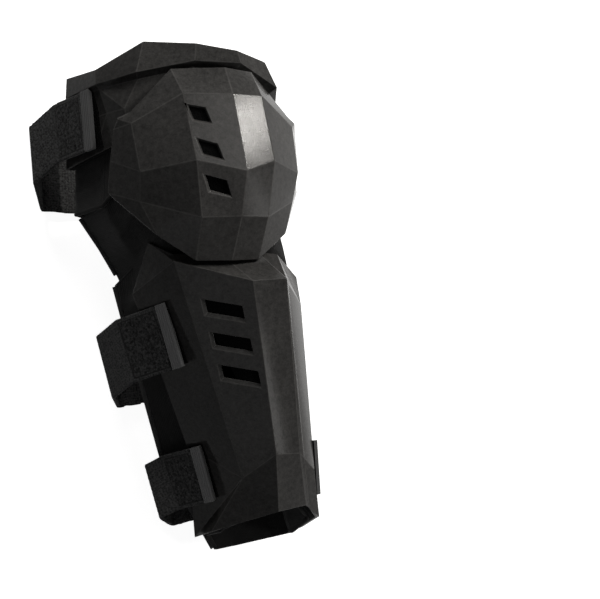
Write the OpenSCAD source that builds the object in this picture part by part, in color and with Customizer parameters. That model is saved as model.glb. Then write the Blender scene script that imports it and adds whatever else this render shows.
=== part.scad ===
// Faceted elbow guard for the left arm: an upper-arm cuff, an elbow cup and a forearm shell,
// their foam and fabric lining, and three hook-and-loop straps. Millimetres.
// The guard lies on its straps: +Z is the outside of the arm and +Y points to the shoulder.
// Pieces are built about the elbow axis, a line along X, and then set on the table.

/* [Fit] */
// Height of the elbow axis above the table
axis_height = 92; // [90:1:100]
// Sideways lean of the forearm, in millimetres for each millimetre of length
forearm_lean = 0.15; // [0.12:0.01:0.18]
// Gap between pieces that lie on each other
seat_gap = 0.3; // [0.2:0.05:0.4]
// Wall of the hard shells
shell_wall = 3; // [2.6:0.1:3.2]
// Thickness of the foam pads
pad_wall = 4; // [3.4:0.1:4.4]
// Distance from the edge of the elbow cup to the edge of its pad
pad_inset = 5; // [4:0.5:6]
// Thickness of the sleeve fabric
sleeve_wall = 2.4; // [2:0.1:2.8]
// Thickness of the mesh behind the vents
mesh_wall = 0.8; // [0.6:0.1:1]

/* [Elbow cup] */
// Width of the cup across its side rims
cup_width = 138; // [136:1:142]
// Half width of the ridge at the crown
ridge_half = 27.5; // [25:0.5:30]
// Height of the crown above the elbow axis
crown_rise = 60.5; // [59:0.5:63]
// Top edge of the cup, from the elbow axis
cup_top = 81; // [79:0.5:83]
// Bottom edge of the cup, from the elbow axis
cup_bottom = 46; // [45:0.5:47]
// Sideways shift of the ridge's centre crease
crease_shift = 5; // [3:0.5:7]
// Width of the upper cup vent
cup_vent_wide = 11; // [9:0.5:12]
// Height of a cup vent
cup_vent_high = 10; // [9:0.5:11]

/* [Forearm shell] */
// Distance from the elbow axis to the wrist rim
forearm_reach = 210; // [207:1:214]
// Length of the wrist band below its crease
band_len = 38; // [36:1:40]
// Width of the flat strip along the shell
strip_width = 24; // [22:0.5:26]
// Height of the brow crease above the elbow axis
brow_rise = 45; // [44:0.5:46]
// Number of ventilation slots
slot_count = 3; // [2:1:3]
// Length of a slot
slot_len = 24.8; // [20:0.2:26]
// Height of a slot
slot_high = 9; // [7:0.5:10]
// Distance between slots
slot_pitch = 22.5; // [20:0.5:24]
// Width of the bevel at a vent's left and lower edges
vent_bevel = 2.4; // [1.5:0.1:3]

/* [Upper arm cuff] */
// Half width of the cuff at its side edge
cuff_half = 75.5; // [74:0.5:78]
// Top edge of the cuff at the crown, from the elbow axis
cuff_top = 97.4; // [96:0.2:100]
// Height of the cuff's crown above the elbow axis
cuff_rise = 36; // [35:0.5:37]
// Depth of the recess that the cup's top edge lies in
cuff_recess = 6; // [5.5:0.5:6.5]

/* [Straps] */
// Width of the upper-arm strap
upper_strap_width = 40; // [36:1:42]
// Width of the forearm strap
forearm_strap_width = 44; // [40:1:46]
// Width of the wrist strap
wrist_strap_width = 39; // [35:1:41]
// Thickness of a strap
strap_wall = 2.6; // [2.2:0.1:2.8]
// Thickness of the hook pad and of the loop patch
grip_wall = 0.8; // [0.6:0.1:1]
// Length of the ribbed tab at a strap's end
tab_len = 9; // [7:0.5:11]

/* [Hidden] */

plastic = [0.13, 0.13, 0.14];
fabric = [0.22, 0.22, 0.22];
foam = [0.08, 0.08, 0.08];
webbing = [0.3, 0.3, 0.3];
no_folds = [];
// Depths below a shell's outer face
pad_from = shell_wall + seat_gap;
pad_to = pad_from + pad_wall;
mesh_to = pad_from + mesh_wall;
lining = pad_to + 2 * seat_gap;
// Room above the cup's pad, whose drawn-in edge isn't quite parallel to the cup
pad_drop = 0.5;
// Heights above a shell's outer face
loop_from = seat_gap;
loop_to = loop_from + grip_wall;
hook_from = loop_to + seat_gap;
hook_to = hook_from + grip_wall;
strap_from = hook_to + seat_gap;
// Distance from a strap's rear corner to the line that its flap folds about
fold_from = 6;
deep = 14;
tall = 400;

function unit(v) = v / norm(v);
function mix(a, b, t) = a + (b - a) * t;
function flip(p) = [-p.x, p.y, p.z];
// Column j of row i, wrapped on a ring and held at the edge of an open sheet
function cell(g, i, j, ring) = let (n = len(g[i]))
    g[i][ring ? (j + n) % n : max(0, min(n - 1, j))];
function held(g, i) = max(0, min(len(g) - 1, i));
function step_to(a, b) = norm(b - a) > 0 ? unit(b - a) : [0, 0, 0];
// Outward normal at row i, column j: rows run down the arm, columns from the -X side over the front
function facing(g, i, j, ring) = unit(cross(
    step_to(g[i][j], cell(g, i, j + 1, ring)) + step_to(cell(g, i, j - 1, ring), g[i][j]),
    step_to(g[i][j], g[held(g, i - 1)][j]) + step_to(g[held(g, i + 1)][j], g[i][j])));
function raised(g, h, ring = false) =
    [for (i = [0:len(g) - 1]) [for (j = [0:len(g[i]) - 1]) g[i][j] + h * facing(g, i, j, ring)]];
function folded(folds, i, j) = len([for (f = folds) if (f == [i, j]) f]) > 0;

// Solid between two sheets of points that share a layout: outer face, inner face and closed edges
module between(outer, inner, folds = no_folds, ring = false) {
    rows = len(outer);
    cols = len(outer[0]);
    count = rows * cols;
    last = ring ? cols - 1 : cols - 2;
    skin = [for (i = [0:rows - 2]) for (j = [0:last])
        let (a = i * cols + j, b = i * cols + (j + 1) % cols, c = b + cols, d = a + cols)
        each folded(folds, i, j) ? [[a, b, d], [b, c, d]] : [[a, b, c], [a, c, d]]];
    back = [for (f = skin) [f[2] + count, f[1] + count, f[0] + count]];
    top = [for (j = [0:last]) let (a = j, b = (j + 1) % cols)
        each [[b, a, a + count], [b, a + count, b + count]]];
    foot = [for (j = [0:last]) let (d = (rows - 1) * cols + j, c = (rows - 1) * cols + (j + 1) % cols)
        each [[d, c, c + count], [d, c + count, d + count]]];
    left = ring ? [] : [for (i = [0:rows - 2]) let (a = i * cols, d = a + cols)
        each [[a, d, d + count], [a, d + count, a + count]]];
    right = ring ? [] : [for (i = [0:rows - 2]) let (b = i * cols + cols - 1, c = b + cols)
        each [[c, b, b + count], [c, b + count, c + count]]];
    polyhedron(points = concat([for (r = outer) each r], [for (r = inner) each r]),
        faces = concat(skin, back, top, foot, left, right));
}

// Plate of a given wall behind a sheet of points
module plate(g, wall, folds = no_folds, ring = false) {
    between(g, raised(g, -wall, ring), folds, ring);
}

// Layer that follows a shell between two depths below its outer face; a height is a negative depth
module layer(g, from, to, folds = no_folds) {
    between(raised(g, -from), raised(g, -to), folds);
}

// Sheet with its border points drawn in along the sheet by a margin
function toward(p, q, d) = p + unit(q - p) * min(d, norm(q - p) / 2);
function trimmed(g, d) = let (
    m = len(g) - 1,
    n = len(g[0]) - 1,
    sides = [for (r = g) [for (j = [0:n])
        j == 0 ? toward(r[0], r[1], d) : j == n ? toward(r[n], r[n - 1], d) : r[j]]])
    [for (i = [0:m]) [for (j = [0:n])
        i == 0 ? toward(sides[0][j], sides[1][j], d)
        : i == m ? toward(sides[m][j], sides[m - 1][j], d) : sides[i][j]]];

// Point of cell i, j at the share s across and t down
function spot(g, i, j, s, t) =
    mix(mix(g[i][j], g[i][j + 1], s), mix(g[i + 1][j], g[i + 1][j + 1], s), t);

// Frame at point p: x along u, y along v, z out of the surface
module on_face(p, u, v) {
    n = unit(cross(u, v));
    multmatrix([[u.x, v.x, n.x, p.x], [u.y, v.y, n.y, p.y], [u.z, v.z, n.z, p.z], [0, 0, 0, 1]])
        children();
}

// Vent with its upper left corner at the origin and a bevel at its left and lower edges
module vent(wide, high) {
    sink = shell_wall * 0.55;
    rise = 1.5;
    grow = vent_bevel * (sink + rise) / sink;
    translate([0, -high, -deep])
        cube([wide, high, deep + rise]);
    translate([wide, 0, -sink])
        linear_extrude(sink + rise, scale = [(wide + grow) / wide, (high + grow) / high])
            translate([-wide, -high])
                square([wide, high]);
}

// Distance by which the sleeve's rim stands out past the shell's
rim_past = 22;
// Rise of the cuff's upper corners above its crown edge
corner_rise = 4.7;
// Distance from the elbow cup's centre to the middle of the guard's width
side_shift = 6.65;
module place() translate([side_shift, (forearm_reach + rim_past - cuff_top - corner_rise) / 2, axis_height])
    children();

// Elbow cup
half = cup_width / 2;
function cup_row(rim, cheek, edge, crease) =
    concat([flip(rim), flip(cheek), flip(edge)], [crease], [edge, cheek, rim]);
cup_grid = [
    cup_row([half - 5, 49.5, 20.6], [half - 12, 53, 24.5],
        [ridge_half + 1.5, cup_top, crown_rise - 29], [crease_shift + 1, cup_top, crown_rise - 21]),
    cup_row([half - 3, 43.5, 16], [half - 11, 45, 27.7],
        [ridge_half + 0.5, 61, crown_rise - 15], [crease_shift + 1, 61, crown_rise - 12.5]),
    cup_row([half - 1.5, 24.5, 9.7], [half - 12.5, 12.5, 32.4],
        [ridge_half, 15, crown_rise - 4.3], [crease_shift, 7.5, crown_rise]),
    cup_row([half, 4.5, 4.7], [half - 14, -5, 24],
        [ridge_half - 4, -20, crown_rise - 13], [crease_shift - 2, -20, crown_rise - 9.5]),
    cup_row([half - 11, -9, 10], [half - 23, -27.5, 26],
        [ridge_half - 5, -cup_bottom + 1, crown_rise - 30.5],
        [crease_shift - 3.5, -cup_bottom, crown_rise - 27])];
cup_folds = [[3, 1], [0, 4], [1, 4], [2, 4], [0, 5], [1, 5], [2, 5], [3, 5]];
// Row and column of each vent's facet, with the vent's corner across and down it
cup_spots = [[1, 2, 0.07, 0.17], [1, 2, 0.13, 0.67], [2, 2, 0.17, 0.24]];
// Amount by which each cup vent is wider than the one above
vent_growth = 1.5;

module elbow_cup() color(plastic) place() difference() {
    plate(cup_grid, shell_wall, cup_folds);
    for (k = [0:len(cup_spots) - 1]) {
        q = cup_spots[k];
        p = spot(cup_grid, q[0], q[1], q[2], q[3]);
        u = unit(spot(cup_grid, q[0], q[1], q[2] + 0.1, q[3] + 0.01) - p);
        v = unit(p - spot(cup_grid, q[0], q[1], q[2] + 0.03, q[3] + 0.1));
        on_face(p, u, v) vent(cup_vent_wide + k * vent_growth, cup_vent_high);
    }
}

// Area behind the cup vents
module cup_vent_area(margin) {
    linear_extrude(tall)
        offset(delta = margin)
            polygon([[-27, 57], [-11, 57], [-2, -10], [-22, -10]]);
}

module cup_vent_mesh() color(foam) place() intersection() {
    layer(cup_grid, pad_from, mesh_to, cup_folds);
    cup_vent_area(0);
}

module cup_pad() color(foam) place() difference() {
    between(trimmed(raised(cup_grid, -pad_from - pad_drop), pad_inset),
        trimmed(raised(cup_grid, -pad_to - pad_drop), pad_inset), cup_folds);
    cup_vent_area(seat_gap);
}

// Forearm shell
band_y = forearm_reach - band_len;
function lean(x, y, z) = [x + forearm_lean * y, -y, z];
shell_grid = [
    [lean(-46.1, 27.5, 0), lean(-38.2, 38, brow_rise - 28), lean(-6, 38, brow_rise - 27),
        lean(22, 38, brow_rise - 26.5), lean(35.5, 40, brow_rise - 25), lean(56.6, 53, 0.8),
        lean(63.6, 54, -17)],
    [lean(-55.7, 58, -22), lean(-40.4, 43.6, brow_rise - 24), lean(0.6, 60.8, brow_rise - 0.6),
        lean(0.6 + strip_width, 60, brow_rise + 0.5), lean(34, 61.5, brow_rise - 16), lean(56.2, 72, -1),
        lean(59.8, 78, -27)],
    [lean(-31.7, band_y - 11, -45), lean(-12.5, band_y + 13.5, -9.8), lean(6.7, band_y, 9),
        lean(3.7 + strip_width, band_y + 0.5, 2.4), lean(32, band_y + 4, -1.5),
        lean(43.3, band_y + 12.7, -12), lean(45.3, band_y - 7, -58)],
    [lean(-30.5, forearm_reach + 13, -70), lean(-29.1, forearm_reach + 9.5, -43),
        lean(6.4, forearm_reach, -6), lean(9.9 + strip_width, forearm_reach - 2, -18),
        lean(38, forearm_reach, -22), lean(49.5, forearm_reach + 7, -32),
        lean(49.1, forearm_reach + 14, -60)]];
shell_folds = [[0, 1], [0, 2], [2, 0], [2, 1]];
// Place on the slots' facet, as shares across and down it from the first slot's upper left corner
slot_corner = [0.268, 0.1575];
function on_slots(s, t) = spot(shell_grid, 1, 1, slot_corner.x + s, slot_corner.y + t);
slot_start = on_slots(0, 0);
slot_along = unit(on_slots(0.254, 0) - slot_start);
slot_up = unit(on_slots(0.01, -0.064) - slot_start);
slot_next = slot_pitch * unit(on_slots(-0.0136, 0.1576) - slot_start);

module forearm_shell() color(plastic) place() difference() {
    plate(shell_grid, shell_wall, shell_folds);
    for (k = [0:slot_count - 1])
        on_face(slot_start + k * slot_next, slot_along, slot_up) vent(slot_len, slot_high);
}

// Area behind the forearm slots
module slot_area(margin) {
    first = slot_start + slot_up * 4 - slot_along * 4;
    foot = slot_start + (slot_count - 1) * slot_next - slot_up * (slot_high + 4) - slot_along * 4;
    across = slot_along * (slot_len + 8);
    translate([0, 0, -tall / 2])
        linear_extrude(tall)
            offset(delta = margin)
                polygon([for (p = [first, first + across, foot + across, foot]) [p.x, p.y]]);
}

module forearm_vent_mesh() color(foam) place() intersection() {
    layer(shell_grid, pad_from, mesh_to, shell_folds);
    slot_area(0);
}

module forearm_pad() color(foam) place() difference() {
    layer(shell_grid, pad_from, pad_to, shell_folds);
    slot_area(seat_gap);
}

// Sleeve: the shell's inside, closed round the back of the forearm
sleeve_front = raised(shell_grid, -lining);
sleeve_back = [
    [[67, -50, -50], [45, -55, -76], [-15, -55, -78], [-45, -48, -56]],
    [[66, -78, -53], [45, -78, -78], [-11, -76, -79], [-40, -70, -58]],
    [lean(40.8, band_y - 4, -72), lean(24.8, band_y - 4, -82), lean(-17.2, band_y - 4, -83),
        lean(-38.8, band_y - 7, -74)],
    [lean(44.1, forearm_reach + 16, -70), lean(31.8, forearm_reach + 18, -78),
        lean(1.4, forearm_reach + 21, -80), lean(-14.8, forearm_reach + rim_past, -77)]];
sleeve_grid = [for (i = [0:3]) concat(sleeve_front[i], sleeve_back[i])];

module forearm_sleeve() color(fabric) place() plate(sleeve_grid, sleeve_wall, shell_folds, true);

// Upper arm cuff: the -X side stands higher than the +X side
cuff_grid = [
    [[1.1 - cuff_half, cuff_top - 5, -40], [8.6 - cuff_half, cuff_top - 8.4, -5],
        [-41.6, cuff_top + corner_rise, cuff_rise - 16], [-11.4, cuff_top, cuff_rise],
        [18, cuff_top - 3.5, cuff_rise], [46, cuff_top - 5.5, cuff_rise - 16],
        [cuff_half - 13.2, cuff_top - 17, -5], [cuff_half - 17.5, cuff_top - 16.6, -40]],
    [[-cuff_half, 79, -42], [6.8 - cuff_half, 78.2, -2], [-49.1, 80.5, cuff_rise - 14],
        [-12.4, 86.3, cuff_rise - 2], [21, 86, cuff_rise - 2], [53, 74, cuff_rise - 15],
        [cuff_half - 13, 67.5, -2], [cuff_half - 15, 65, -42]],
    [[0.5 - cuff_half, 76, -42.5], [10 - cuff_half, 75.5, -3.5],
        [-46, 77.5, cuff_rise - 14 - cuff_recess], [-12, 83.5, cuff_rise - 2 - cuff_recess],
        [20, 83.2, cuff_rise - 2 - cuff_recess], [49.5, 71, cuff_rise - 15 - cuff_recess],
        [cuff_half - 16, 64.5, -3.5], [cuff_half - 15.5, 62, -42.5]],
    [[-0.5 - cuff_half, 59, -45], [14 - cuff_half, 59.5, -4], [-55, 59, cuff_rise - 25],
        [-12, 60, cuff_rise - 5], [18, 58, cuff_rise - 6], [50, 52, cuff_rise - 25],
        [cuff_half - 18.5, 48, -6], [cuff_half - 15, 46, -45]],
    [[-1.3 - cuff_half, 31.4, -48], [9.6 - cuff_half, 35.3, -20], [-52, 40, cuff_rise - 26],
        [-12, 42, cuff_rise - 6], [16, 41, cuff_rise - 7], [46, 36, cuff_rise - 27],
        [cuff_half - 17, 23, -20], [cuff_half - 16.5, 22, -48]]];
cuff_folds = [[0, 4], [0, 5], [0, 6], [1, 4], [1, 5], [1, 6], [2, 4], [2, 5], [2, 6], [3, 4], [3, 5],
    [3, 6]];

module upper_arm_cuff() color(plastic) place() plate(cuff_grid, shell_wall, cuff_folds);

module cuff_pad() color(foam) place() layer(cuff_grid, pad_from, pad_to, cuff_folds);

// Liner of the upper arm: under the cuff, down both sides to the elbow and in at the back
liner_under = raised(cuff_grid, -lining);
liner_hem = [[-72.4, 1.3, -50], [-64.7, 1.2, -18], [-46, 26, 8], [-12, 32, 22], [14, 31, 21],
    [40, 24, 6], [56, -3, -18], [53, -1, -50]];
// Height of the liner's back edge at each of its rows, on both sides
liner_back = [[88, 76], [77, 63], [74, 60], [59, 45], [34, 20], [3, 0]];
liner_grid = [for (i = [0:5]) let (row = i < 5 ? liner_under[i] : liner_hem)
    concat([[-57, liner_back[i][0], -70]], row, [[43, liner_back[i][1], -70]])];
liner_folds = concat([for (f = cuff_folds) f + [0, 1]], [[4, 5], [4, 6], [4, 7]]);

module upper_arm_liner() color(fabric) place() plate(liner_grid, sleeve_wall, liner_folds);

// Stretch gusset between the liner and the sleeve
gusset_grid = [
    [[-64, 0.3, -62], [-62, 0.3, -20], [-52, 12, 2], [-43, 22, 18], [-12, 26, 48.5],
        [12, 26, 48.5], [40, 20, 18], [48, 8, 2], [53, -4.5, -20], [50, -2, -62]],
    [[-52, -21, -60], [-52, -20, -22], [-50, -8, -2], [-42, -4, 12], [-12, -8, 48],
        [12, -8, 48], [42, -6, 14], [54, -14, 0], [59, -24, -20], [58, -25, -58]],
    [[-43.5, -40, -57], [-41, -34, -26], [-41, -25, -4], [-33, -34.5, 10], [-6, -35, 12],
        [22, -35, 13], [42, -34, 14], [60, -44, -2], [67, -45.5, -20], [66, -47, -54]]];

module elbow_gusset() color(fabric) place() difference() {
    plate(gusset_grid, sleeve_wall);
    layer(cup_grid, 0, pad_to + pad_drop + seat_gap, cup_folds);
}

// Straps. A path is a list of points on the strap's upper edge, from the inner end round the back
// to the outer end; a second list gives the way from the upper to the lower edge.
function lower(path, way, wide) = [for (k = [0:len(path) - 1]) path[k] + wide * unit(way[k])];
function part_of(path, from, to) = [for (k = [from:to]) path[k]];
function ends_at(a, b, length) = a + length * unit(b - a);

upper_path = [[cuff_half - 11.9, 62, -8], [cuff_half - 11.5, 62, -45], [cuff_half - 5.5, 56, -62],
    [cuff_half - 13.5, 46, -axis_height], [-8, 46, -axis_height], [-8.5 - cuff_half, 50, -86],
    [-20.5 - cuff_half, 64.5, -62], [-8 - cuff_half, 75.7, -45], [4.1 - cuff_half, 77, -8]];
upper_way = [for (p = upper_path) [0, -1, 0]];
forearm_path = [[72.3, -64, -13], [75, -62, -30], [76.5, -61.5, -46], [61, -70, -axis_height],
    [10, -80, -axis_height], [-48, -86, -86], [-60.9, -80.7, -60], [-54.7, -72.9, -38], [-35, -67.4, 2.4]];
forearm_way = [[0.4, -42, -6], [0, -42, -3], [3, -42, 0], [6, -42, 0], [7, -43, 0],
    [8, -43, 0], [8, -43, 0], [8, -43, 0], [11, -42, -5]];
// Point at a distance above the wrist rim, leaning with the forearm
function at_wrist(x, y, z) = [x + forearm_lean * forearm_reach, y - forearm_reach, z];
wrist_path = [at_wrist(42.7, 45.5, -10), at_wrist(42.9, 46, -28), at_wrist(44, 47, -50),
    at_wrist(38.5, 44, -axis_height), at_wrist(-3.5, 40, -axis_height), at_wrist(-45.5, 34, -86),
    at_wrist(-61.5, 40, -70), at_wrist(-52.3, 44.9, -60), at_wrist(-37.7, 48.6, -27.4)];
wrist_way = [[5, -38, -12], [5.5, -37.5, -4], [6, -37.5, -3], [6, -37, 0], [6, -38, 0],
    [7, -38, 0], [8, -38, 0], [8.5, -38, 0], [10, -40, -5]];

// Strap plate along part of a path
module webbing_run(path, way, wide) {
    color(webbing) plate([path, lower(path, way, wide)], strap_wall);
}

// Ribbed end of a strap: the plate's face steps up and down along its length
module ribbed(from, to, way_from, way_to, wide) {
    ribs = 5;
    rib_rise = 0.5;
    count = 2 * ribs;
    out = unit(cross(to - from, way_from)) * -rib_rise;
    rows = [for (k = [0:count]) mix(from, to, k / count) + (k % 2 == 0 ? [0, 0, 0] : out)];
    ways = [for (k = [0:count]) mix(unit(way_from), unit(way_to), k / count)];
    top = rows;
    foot = [for (k = [0:count]) rows[k] + wide * ways[k]];
    color(webbing) between([top, foot], raised([[for (k = [0:count]) mix(from, to, k / count)],
        [for (k = [0:count]) mix(from, to, k / count) + wide * ways[k]]], -strap_wall));
}

// Space on a shell that a strap keeps clear of: its flap lies on the grips, its band on the shell
module clear_of(g, folds, from = strap_from) {
    between(raised(g, from), raised(g, -deep), folds);
}

// Part of a shell's skin under a strap's end
module grip(g, folds, from, to, path, way, wide, first, margin) {
    last = len(path) - 1;
    inner = lower(path, way, wide);
    a = mix(path[last], path[first], margin / 40);
    b = mix(inner[last], inner[first], margin / 40);
    intersection() {
        between(raised(g, to), raised(g, from), folds);
        hull() {
            for (p = [a, b, path[first], inner[first]]) {
                q = unit(cross(path[last] - path[first], inner[first] - path[first]));
                translate(mix(p, (a + b) / 2, 0.08) - q * 12) cube(0.2);
                translate(mix(p, (a + b) / 2, 0.08) + q * 12) cube(0.2);
            }
        }
    }
}

module strap_band(path, way, wide, hinge, g, folds) {
    near = ends_at(path[0], path[1], tab_len + seat_gap);
    away = ends_at(path[hinge], path[hinge + 1], fold_from - seat_gap);
    mid = part_of(path, 1, hinge);
    ways = concat([way[0]], part_of(way, 1, hinge), [way[hinge]]);
    difference() {
        webbing_run(concat([near], mid, [away]), ways, wide);
        clear_of(g, folds, seat_gap);
    }
}

module strap_flap(path, way, wide, hinge, g, folds) {
    last = len(path) - 1;
    from = ends_at(path[hinge], path[hinge + 1], fold_from + seat_gap);
    to = ends_at(path[last], path[last - 1], tab_len + seat_gap);
    ways = concat([way[hinge]], part_of(way, hinge + 1, last - 1), [way[last]]);
    difference() {
        webbing_run(concat([from], part_of(path, hinge + 1, last - 1), [to]), ways, wide);
        clear_of(g, folds);
    }
}

module strap_tip(path, way, wide, g, folds) {
    last = len(path) - 1;
    difference() {
        ribbed(ends_at(path[last], path[last - 1], tab_len), path[last], way[last], way[last], wide);
        clear_of(g, folds);
    }
}

module strap_root(path, way, wide, g, folds) {
    difference() {
        ribbed(path[0], ends_at(path[0], path[1], tab_len), way[0], way[0], wide);
        clear_of(g, folds, seat_gap);
    }
}

module upper_strap_band() place()
    strap_band(upper_path, upper_way, upper_strap_width, 5, cuff_grid, cuff_folds);
module upper_strap_end() place()
    strap_root(upper_path, upper_way, upper_strap_width, cuff_grid, cuff_folds);
module upper_strap_flap() place()
    strap_flap(upper_path, upper_way, upper_strap_width, 5, cuff_grid, cuff_folds);
module upper_strap_tab() place()
    strap_tip(upper_path, upper_way, upper_strap_width, cuff_grid, cuff_folds);
module upper_strap_hook() color(foam) place()
    grip(cuff_grid, cuff_folds, hook_from, hook_to, upper_path, upper_way, upper_strap_width, 7, 3);
module upper_strap_loop() color(foam) place()
    grip(cuff_grid, cuff_folds, loop_from, loop_to, upper_path, upper_way, upper_strap_width, 7, 1);

module forearm_strap_band() place()
    strap_band(forearm_path, forearm_way, forearm_strap_width, 5, shell_grid, shell_folds);
module forearm_strap_end() place()
    strap_root(forearm_path, forearm_way, forearm_strap_width, shell_grid, shell_folds);
module forearm_strap_flap() place()
    strap_flap(forearm_path, forearm_way, forearm_strap_width, 5, shell_grid, shell_folds);
module forearm_strap_tab() place()
    strap_tip(forearm_path, forearm_way, forearm_strap_width, shell_grid, shell_folds);
module forearm_strap_hook() color(foam) place()
    grip(shell_grid, shell_folds, hook_from, hook_to, forearm_path, forearm_way,
        forearm_strap_width, 7, 3);
module forearm_strap_loop() color(foam) place()
    grip(shell_grid, shell_folds, loop_from, loop_to, forearm_path, forearm_way,
        forearm_strap_width, 7, 1);

module wrist_strap_band() place()
    strap_band(wrist_path, wrist_way, wrist_strap_width, 5, shell_grid, shell_folds);
module wrist_strap_end() place()
    strap_root(wrist_path, wrist_way, wrist_strap_width, shell_grid, shell_folds);
module wrist_strap_flap() place()
    strap_flap(wrist_path, wrist_way, wrist_strap_width, 5, shell_grid, shell_folds);
module wrist_strap_tab() place()
    strap_tip(wrist_path, wrist_way, wrist_strap_width, shell_grid, shell_folds);
module wrist_strap_hook() color(foam) place()
    grip(shell_grid, shell_folds, hook_from, hook_to, wrist_path, wrist_way, wrist_strap_width, 7, 3);
module wrist_strap_loop() color(foam) place()
    grip(shell_grid, shell_folds, loop_from, loop_to, wrist_path, wrist_way, wrist_strap_width, 7, 1);

forearm_shell();
forearm_vent_mesh();
forearm_pad();
forearm_sleeve();
elbow_gusset();
elbow_cup();
cup_vent_mesh();
cup_pad();
upper_arm_cuff();
cuff_pad();
upper_arm_liner();
upper_strap_band();
upper_strap_end();
upper_strap_flap();
upper_strap_tab();
upper_strap_hook();
upper_strap_loop();
forearm_strap_band();
forearm_strap_end();
forearm_strap_flap();
forearm_strap_tab();
forearm_strap_hook();
forearm_strap_loop();
wrist_strap_band();
wrist_strap_end();
wrist_strap_flap();
wrist_strap_tab();
wrist_strap_hook();
wrist_strap_loop();
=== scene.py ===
import math

import bmesh
import bpy
import numpy as np
from mathutils import Matrix, Vector, noise
from mathutils.bvhtree import BVHTree


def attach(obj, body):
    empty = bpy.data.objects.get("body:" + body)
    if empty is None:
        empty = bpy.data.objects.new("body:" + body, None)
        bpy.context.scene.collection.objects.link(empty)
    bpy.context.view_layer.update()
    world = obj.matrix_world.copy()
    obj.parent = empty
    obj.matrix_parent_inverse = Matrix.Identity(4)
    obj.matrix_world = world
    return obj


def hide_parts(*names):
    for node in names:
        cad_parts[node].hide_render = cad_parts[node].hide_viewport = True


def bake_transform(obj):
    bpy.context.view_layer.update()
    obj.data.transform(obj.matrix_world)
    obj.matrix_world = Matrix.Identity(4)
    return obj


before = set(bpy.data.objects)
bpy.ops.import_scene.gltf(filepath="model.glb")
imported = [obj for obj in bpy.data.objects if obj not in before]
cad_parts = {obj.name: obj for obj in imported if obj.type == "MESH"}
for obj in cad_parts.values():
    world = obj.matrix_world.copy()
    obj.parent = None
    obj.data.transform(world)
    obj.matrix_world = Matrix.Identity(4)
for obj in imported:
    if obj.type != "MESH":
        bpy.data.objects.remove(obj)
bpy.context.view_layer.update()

bl_info = {
    "name": "Elbow guard",
    "version": (1, 0, 0),
    "blender": (4, 5, 0),
    "location": "View3D > Sidebar > Elbow guard",
    "description": "Dresses the elbow guard's shells, fabric and straps",
    "category": "Object",
}

MM = 0.001
# Elbow axis in the model's frame, in metres
ELBOW = Vector((6.65, 64.95, 92.0)) * MM
# Walls of the solids and the gap between them, in millimetres
SHELL_WALL = 3.0
PAD_WALL = 4.0
SLEEVE_WALL = 2.4
SEAT = 0.3
LINING = SHELL_WALL + PAD_WALL + 3 * SEAT
# Half the width of the bindings round the hems, in millimetres
BINDING = 1.5
# Tapes are this many times paler than the knit
TAPE_TONE = 6.0
# Height of the liner's ends at the back, below every solid that covers the gusset
BACK = -70
UP = Vector((0, 0, 1))
WHITE = (1.0, 1.0, 1.0, 1.0)
BLACK = (0.0, 0.0, 0.0, 1.0)


class Sock:
    """A node's output that can be written into an expression."""

    def __init__(self, shader, out):
        self.shader = shader
        self.out = out

    def maths(self, operation, *values):
        return self.shader.node("ShaderNodeMath", {"operation": operation}, dict(enumerate(values)))

    def __add__(self, other):
        return self.maths("ADD", self, other)

    def __radd__(self, other):
        return self.maths("ADD", other, self)

    def __sub__(self, other):
        return self.maths("SUBTRACT", self, other)

    def __rsub__(self, other):
        return self.maths("SUBTRACT", other, self)

    def __mul__(self, other):
        return self.maths("MULTIPLY", self, other)

    def __rmul__(self, other):
        return self.maths("MULTIPLY", other, self)

    def sine(self):
        return self.maths("SINE", self)

    def larger(self, other):
        return self.maths("MAXIMUM", self, other)


class Shader:
    """A node tree under construction."""

    def __init__(self, tree):
        self.tree = tree

    def feed(self, socket, value):
        """Links a socket to an expression, or sets it to a value."""
        if isinstance(value, Sock):
            self.tree.links.new(value.out, socket)
        else:
            socket.default_value = value

    def node(self, kind, settings=None, inputs=None, out=0):
        """One output of a new node, after its settings and then its inputs are set."""
        made = self.tree.nodes.new(kind)
        for key, value in (settings or {}).items():
            setattr(made, key, value)
        for key, value in (inputs or {}).items():
            self.feed(made.inputs[key], value)
        return Sock(self, made.outputs[out])

    def blend(self, factor, low, high):
        """Colour between two colours by a factor."""
        return self.node("ShaderNodeMix", {"data_type": "RGBA"}, {0: factor, 6: low, 7: high}, 2)

    def seen(self):
        """1 where the camera sees a surface directly, in a reflection or through glass."""
        direct, mirrored, through = (self.node("ShaderNodeLightPath", out=f"Is {kind} Ray")
                                     for kind in ("Camera", "Glossy", "Transmission"))
        return direct.larger(mirrored).larger(through)


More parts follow.
